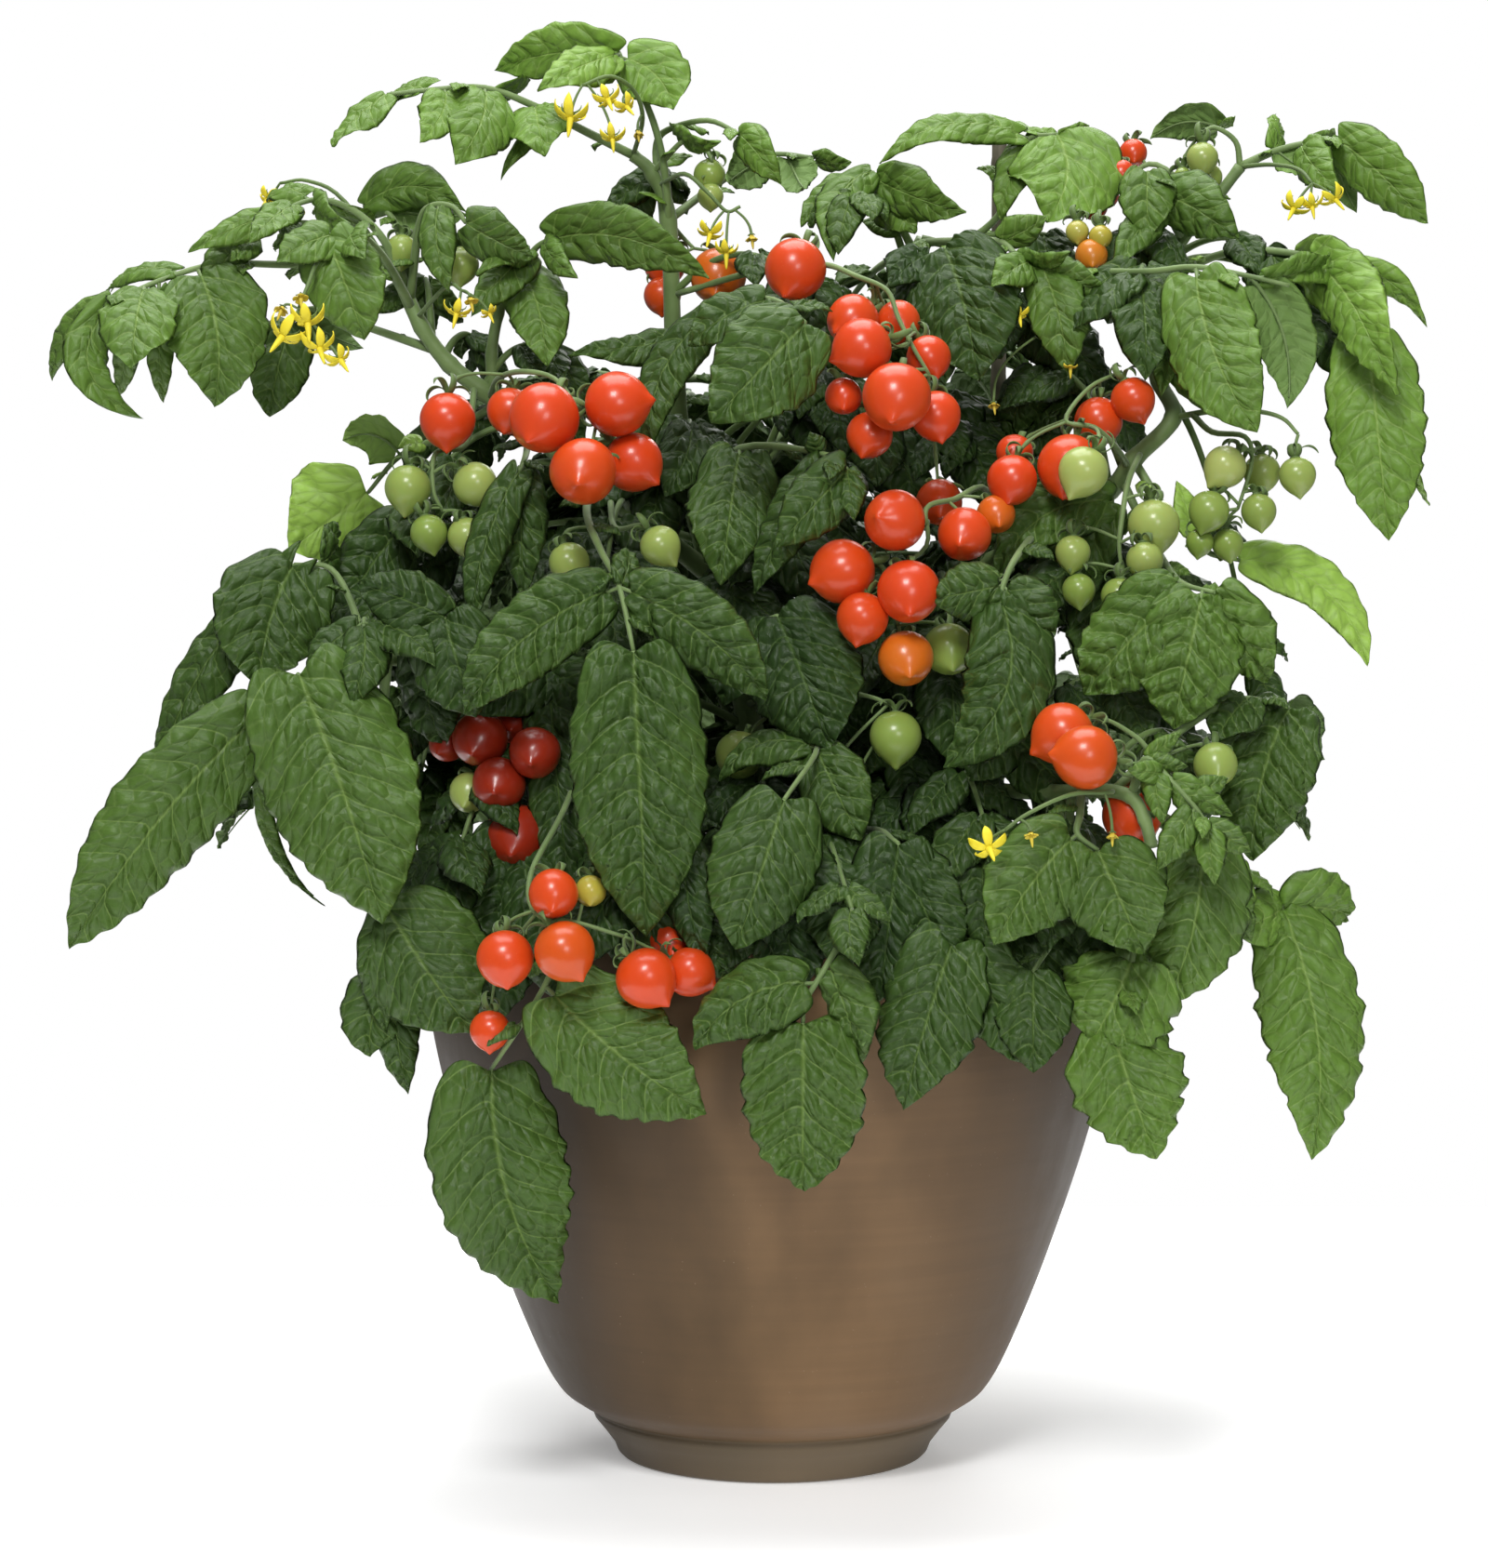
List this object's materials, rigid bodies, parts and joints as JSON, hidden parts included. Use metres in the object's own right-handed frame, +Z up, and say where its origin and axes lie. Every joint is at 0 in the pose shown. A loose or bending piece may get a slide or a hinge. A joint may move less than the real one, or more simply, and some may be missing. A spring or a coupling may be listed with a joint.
{
  "type": "potted tomato plant",
  "caption": "Bushy dwarf tomato plant with small pointed fruits in trusses, growing in a round footed clay pot of soil beside a thin cane.",
  "frame": {"origin": "centre of the pot's foot, on the surface that the pot stands on", "axes": "+Z up, -Y towards the viewer of the plant's fullest side, +X to that viewer's right"},
  "size_m": [0.582, 0.4638, 0.6137],
  "materials": {
    "clay": "mottled brown clay, slightly rough",
    "soil": "dark crumbly potting mix",
    "cane": "dry dull cane",
    "stem": "pale green, finely hairy",
    "leaf": "soft green, quilted between the veins",
    "ripe_fruit": "smooth glossy red skin",
    "green_fruit": "smooth glossy pale green skin",
    "flower": "soft yellow petals"
  },
  "bodies": {
    "root": {"pot": "clay", "soil": "soil", "cane": "cane", "main_stem": "stem", "shoot_left": "stem", "shoot_right": "stem", "shoot_mid": "stem", "shoot_low_right": "stem", "shoot_low_left": "stem", "leaf_back_high": "leaf", "leaf_back_left": "leaf", "leaf_back_low": "leaf", "leaf_back_middle": "leaf", "leaf_back_right": "leaf", "leaf_bottom_right": "leaf", "leaf_cane_side": "leaf", "leaf_centre": "leaf", "leaf_far_left": "leaf", "leaf_far_right": "leaf", "leaf_hero": "leaf", "leaf_left_bright": "leaf", "leaf_left_droop": "leaf", "leaf_left_fold": "leaf", "leaf_left_inner": "leaf", "leaf_left_low": "leaf", "leaf_left_mid": "leaf", "leaf_left_tip": "leaf", "leaf_low_centre": "leaf", "leaf_low_left": "leaf", "leaf_low_right": "leaf", "leaf_mid_dark": "leaf", "leaf_mid_hero": "leaf", "leaf_mid_right": "leaf", "leaf_mid_top": "leaf", "leaf_middle": "leaf", "leaf_pot_front": "leaf", "leaf_pot_left": "leaf", "leaf_pot_right": "leaf", "leaf_right_bright": "leaf", "leaf_right_crinkled": "leaf", "leaf_right_hanging": "leaf", "leaf_right_hero": "leaf", "leaf_right_low": "leaf", "leaf_right_mid": "leaf", "leaf_right_top": "leaf", "leaf_top": "leaf", "leaf_top_left": "leaf", "leaf_upper_left": "leaf", "truss_centre": "ripe_fruit", "truss_far_right_green": "green_fruit", "truss_inner_green": "green_fruit", "truss_left_green": "green_fruit", "truss_left_red": "ripe_fruit", "truss_low_left_dark": "ripe_fruit", "truss_low_red": "ripe_fruit", "truss_low_right_red": "ripe_fruit", "truss_middle_red": "ripe_fruit", "truss_right_green": "green_fruit", "truss_right_red": "ripe_fruit", "truss_top_red": "ripe_fruit"}
  },
  "joints": []
}
